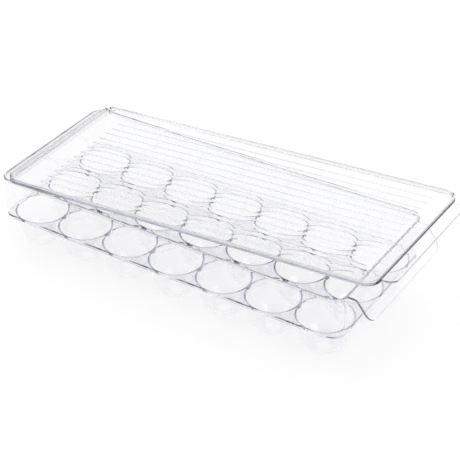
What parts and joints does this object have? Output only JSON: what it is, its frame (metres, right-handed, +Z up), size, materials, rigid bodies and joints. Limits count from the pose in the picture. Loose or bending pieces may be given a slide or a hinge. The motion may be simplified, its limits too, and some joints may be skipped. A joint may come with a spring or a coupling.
{
  "type": "egg keeper with flip lid",
  "caption": "Clear moulded refrigerator egg keeper: a tray of round cups in rows with a grip flap at one end, under a ribbed lid with a lift tab that flips open near the other end.",
  "frame": {"origin": "centre of the small flat foot of the middle cup of the middle row, on the surface that the keeper stands on, under the middle of the cup grid", "axes": "+X runs along the tray from the hinge end to the grip flap, +Y runs from the front long side to the back one, +Z is up; millimetres in the source, metres here"},
  "size_m": [0.3931, 0.158, 0.1057],
  "materials": {
    "tray_clear": "clear, polished, faint cool grey",
    "lid_clear": "clear, polished, faint cool grey"
  },
  "bodies": {
    "tray": {"cup_front_1": "tray_clear", "cup_front_2": "tray_clear", "cup_front_3": "tray_clear", "cup_front_4": "tray_clear", "cup_front_5": "tray_clear", "cup_front_6": "tray_clear", "cup_front_7": "tray_clear", "cup_middle_1": "tray_clear", "cup_middle_2": "tray_clear", "cup_middle_3": "tray_clear", "cup_middle_4": "tray_clear", "cup_middle_5": "tray_clear", "cup_middle_6": "tray_clear", "cup_middle_7": "tray_clear", "cup_back_1": "tray_clear", "cup_back_2": "tray_clear", "cup_back_3": "tray_clear", "cup_back_4": "tray_clear", "cup_back_5": "tray_clear", "cup_back_6": "tray_clear", "cup_back_7": "tray_clear", "tray_walls": "tray_clear", "grip_flap": "tray_clear"},
    "lid": {"lid": "lid_clear"}
  },
  "joints": [
    {"name": "lid_hinge", "type": "hinge", "parent": "tray", "child": "lid", "pos_m": [-0.16005, 0, 0.0755], "axis": [0, -1, 0], "range_deg": [-4.2, 105.8]}
  ]
}
